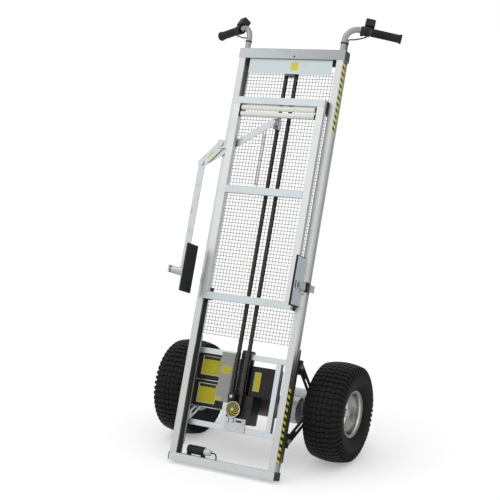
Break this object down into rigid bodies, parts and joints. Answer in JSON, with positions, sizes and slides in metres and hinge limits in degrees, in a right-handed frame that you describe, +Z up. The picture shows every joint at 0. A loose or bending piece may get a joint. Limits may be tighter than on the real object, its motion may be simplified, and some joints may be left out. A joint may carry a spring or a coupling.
{
  "type": "lifting hand truck",
  "caption": "Leaning hand truck on air tyres with a chain-driven lifting carriage, a side clamp with rubber jaws, and bent handles with controls.",
  "frame": {"origin": "bottom centre of the standing truck's bounding box, on the ground", "axes": "+Z up, +X to the right seen from the load's side, +Y to the back where the handles are; the mast leans back"},
  "size_m": [0.7684, 0.7019, 1.5754],
  "materials": {
    "mast_aluminium": "brushed extrusion",
    "carriage_aluminium": "satin",
    "cream_paint": "semi-gloss",
    "zinc_steel": "zinc plated",
    "dark_steel": "oiled",
    "black_paint": "semi-gloss",
    "grey_paint": "semi-gloss",
    "black_plastic": "matte",
    "black_rubber": "matte",
    "tyre": "treaded",
    "chrome": "polished",
    "rim_steel": "silver paint",
    "cast_aluminium": "cast",
    "disc_yellow": "yellow and black spiral"
  },
  "bodies": {
    "chassis": {"upright_left": "mast_aluminium", "upright_right": "mast_aluminium", "foot_bar": "mast_aluminium", "bar_end_caps": "black_plastic", "top_crossbar": "mast_aluminium", "top_panel": "mast_aluminium", "guard_mesh": "zinc_steel", "travel_stops": "black_rubber", "handle_tubes": "chrome", "handle_grips": "black_rubber", "control_box_right": "black_plastic", "control_box_left": "black_plastic", "control_cables": "black_rubber", "cable_ties": "black_plastic", "lift_chain": "dark_steel", "upper_bracket": "zinc_steel", "lift_gearbox": "black_paint", "tension_bracket": "zinc_steel", "lift_motor": "black_paint", "rear_frame": "mast_aluminium", "batteries": "black_plastic", "battery_tray": "zinc_steel", "electronics_box": "grey_paint", "motor_controller": "black_plastic", "axle_housing": "cast_aluminium", "drive_motor": "black_paint", "struts_right": "black_paint", "struts_left": "zinc_steel", "strut_brackets": "black_paint", "frame_bolts": "zinc_steel", "limit_switch": "black_plastic"},
    "carriage": {"carriage_posts": "carriage_aluminium", "carriage_bars": "carriage_aluminium", "carriage_tubes": "cream_paint", "carriage_glides": "black_plastic", "arm_bracket": "zinc_steel", "jaw_bracket_right": "zinc_steel", "guide_block": "black_plastic", "clamp_spring": "zinc_steel"},
    "lift_drive": {"drive_sprocket": "dark_steel", "lift_shaft": "zinc_steel", "spiral_disc": "disc_yellow"},
    "upper_wheel": {"upper_sprocket": "dark_steel"},
    "slider": {"chain_block": "zinc_steel"},
    "bar": {"clamp_bar": "zinc_steel"},
    "arm": {"clamp_arm": "zinc_steel"},
    "jaw_left": {"grip_plate_left": "zinc_steel", "grip_pad_left": "black_rubber"},
    "jaw_right": {"grip_plate_right": "zinc_steel", "grip_pad_right": "black_rubber"},
    "wheel_left": {"tyre_left": "tyre", "rim_left": "rim_steel", "half_shaft_left": "zinc_steel"},
    "wheel_right": {"tyre_right": "tyre", "rim_right": "rim_steel", "half_shaft_right": "zinc_steel"},
    "throttle": {"throttle_lever": "black_plastic"},
    "rocker": {"lift_rocker": "black_plastic"},
    "knob": {"release_knob": "black_plastic"}
  },
  "joints": [
    {"name": "carriage_slide", "type": "slide", "parent": "chassis", "child": "carriage", "axis": [0, 0.3551, 0.9348], "range_m": [-0.52, 0.12]},
    {"name": "drive_spin", "type": "hinge", "parent": "chassis", "child": "lift_drive", "pos_m": [0, -0.24246, 0.20547], "axis": [0, 0.9348, -0.3551], "range_deg": [-1454.9, 339.6]},
    {"name": "upper_spin", "type": "hinge", "parent": "chassis", "child": "upper_wheel", "pos_m": [0, 0.20401, 1.38083], "axis": [0, 0.9348, -0.3551], "range_deg": [-1454.9, 339.6]},
    {"name": "clamp_swing", "type": "hinge", "parent": "carriage", "child": "arm", "pos_m": [-0.217, 0.05448, 1.11532], "axis": [0, -0.9348, 0.3551], "range_deg": [-8, 4], "deforming": ["clamp_spring"]},
    {"name": "chain_block_slide", "type": "slide", "parent": "carriage", "child": "slider", "axis": [0, 0.3551, 0.9348], "range_m": [-0.007, 0.004]},
    {"name": "bar_swing", "type": "hinge", "parent": "slider", "child": "bar", "pos_m": [-0.0205, 0.09325, 1.20329], "axis": [0, -0.9348, 0.3551], "range_deg": [-3.8, 2]},
    {"name": "jaw_left_tilt", "type": "hinge", "parent": "arm", "child": "jaw_left", "pos_m": [-0.2253, -0.20029, 0.68259], "axis": [1, 0, 0], "range_deg": [-12, 12]},
    {"name": "jaw_right_tilt", "type": "hinge", "parent": "carriage", "child": "jaw_right", "pos_m": [0.2253, -0.20029, 0.68259], "axis": [1, 0, 0], "range_deg": [-12, 12]},
    {"name": "wheel_left_spin", "type": "hinge", "parent": "chassis", "child": "wheel_left", "pos_m": [-0.311, -0.02391, 0.181], "axis": [1, 0, 0], "continuous": true},
    {"name": "wheel_right_spin", "type": "hinge", "parent": "chassis", "child": "wheel_right", "pos_m": [0.311, -0.02391, 0.181], "axis": [1, 0, 0], "continuous": true},
    {"name": "throttle_turn", "type": "hinge", "parent": "chassis", "child": "throttle", "pos_m": [0.24701, 0.27393, 1.53139], "axis": [0.8833, 0.4161, -0.2159], "range_deg": [0, 35], "stiffness_Nm_per_rad": 0.15, "springref_deg": -5.73},
    {"name": "rocker_tip", "type": "hinge", "parent": "chassis", "child": "rocker", "pos_m": [-0.25937, 0.3214, 1.56115], "axis": [-0.4353, -0.5568, 0.7075], "range_deg": [-8, 8], "stiffness_Nm_per_rad": 0.05},
    {"name": "knob_turn", "type": "hinge", "parent": "chassis", "child": "knob", "pos_m": [-0.008, -0.25093, 0.2564], "axis": [0, -0.9348, 0.3551], "range_deg": [0, 90]}
  ],
  "couplings": [
    {"joint": "drive_spin", "follows": "carriage_slide", "rad_per_m": 48.664},
    {"joint": "upper_spin", "follows": "carriage_slide", "rad_per_m": 48.664},
    {"joint": "chain_block_slide", "follows": "clamp_swing", "m_per_rad": 0.04616},
    {"joint": "bar_swing", "follows": "clamp_swing", "ratio": 0.44133}
  ]
}
